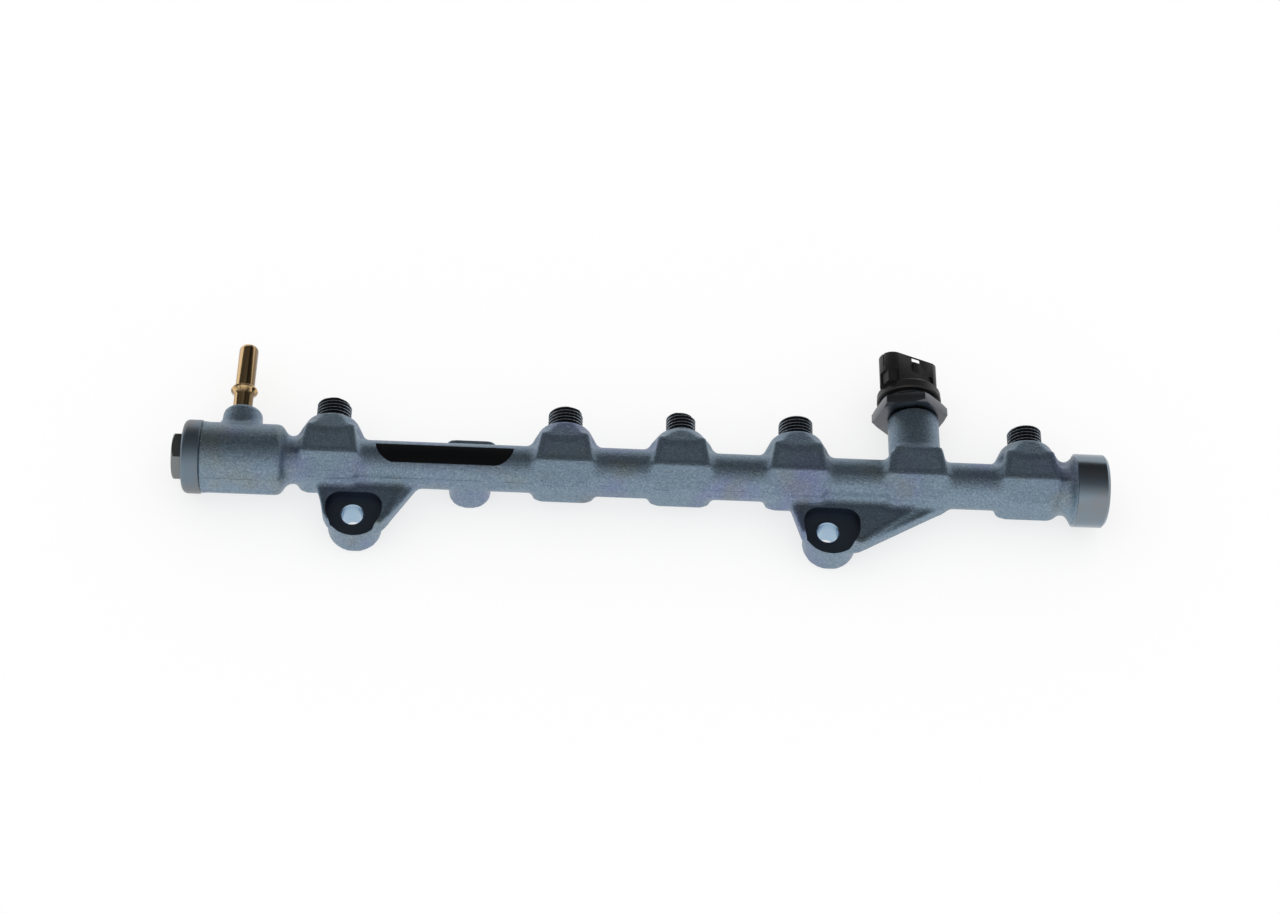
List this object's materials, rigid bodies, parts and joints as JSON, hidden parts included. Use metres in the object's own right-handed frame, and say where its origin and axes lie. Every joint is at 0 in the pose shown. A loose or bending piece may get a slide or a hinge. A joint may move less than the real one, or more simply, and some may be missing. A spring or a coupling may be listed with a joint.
{
  "type": "fuel rail",
  "caption": "Forged steel common-rail fuel rail with threaded line connections, bolt lugs, relief valve, return spigot, end plug and pressure sensor.",
  "frame": {"origin": "midway between the two fixing holes, on the mounting plane", "axes": "+X along the rail from the relief valve to the end plug, +Y the way the line connections point, +Z out of the fixing holes towards the bolt heads"},
  "size_m": [0.3757, 0.0895, 0.0309],
  "materials": {
    "forged_body": "blue passivated zinc plate on a sand-textured steel forging, machined faces satin",
    "plated_steel": "satin zinc-plated steel, turned and milled",
    "dark_steel": "dark satin turned steel",
    "gold_plate": "glossy gold-coloured plated tube",
    "black_plastic": "black glass-filled moulded plastic, fine matt",
    "green_board": "circuit board with green solder mask",
    "natural_plastic": "natural-coloured moulded plastic",
    "spring_steel": "drawn spring steel wire",
    "hardened_steel": "ground and hardened steel",
    "black_rubber": "black moulded rubber",
    "tinned_contact": "tin-plated brass blade"
  },
  "bodies": {
    "rail": {"rail_body": "forged_body", "valve_body": "plated_steel", "valve_seat": "hardened_steel", "valve_spring": "spring_steel", "valve_shim": "hardened_steel", "valve_seal": "black_rubber", "return_spigot": "gold_plate", "end_plug": "plated_steel", "outlet_throttle_1": "hardened_steel", "outlet_throttle_2": "hardened_steel", "outlet_throttle_3": "hardened_steel", "outlet_throttle_4": "hardened_steel", "inlet_throttle": "hardened_steel", "sensor_port": "dark_steel", "sensing_cell": "hardened_steel", "board_support": "natural_plastic", "sensor_board": "green_board", "connector_shell": "black_plastic", "cap_seal": "black_rubber", "contact_pin_1": "tinned_contact", "contact_pin_2": "tinned_contact", "contact_pin_3": "tinned_contact"},
    "plunger": {"valve_plunger": "hardened_steel"}
  },
  "joints": [
    {"name": "valve_lift", "type": "slide", "parent": "rail", "child": "plunger", "axis": [-1, 0, 0], "range_m": [0, 0.001], "stiffness_N_per_m": 2000, "springref_m": -0.002, "deforming": ["valve_spring"]}
  ]
}
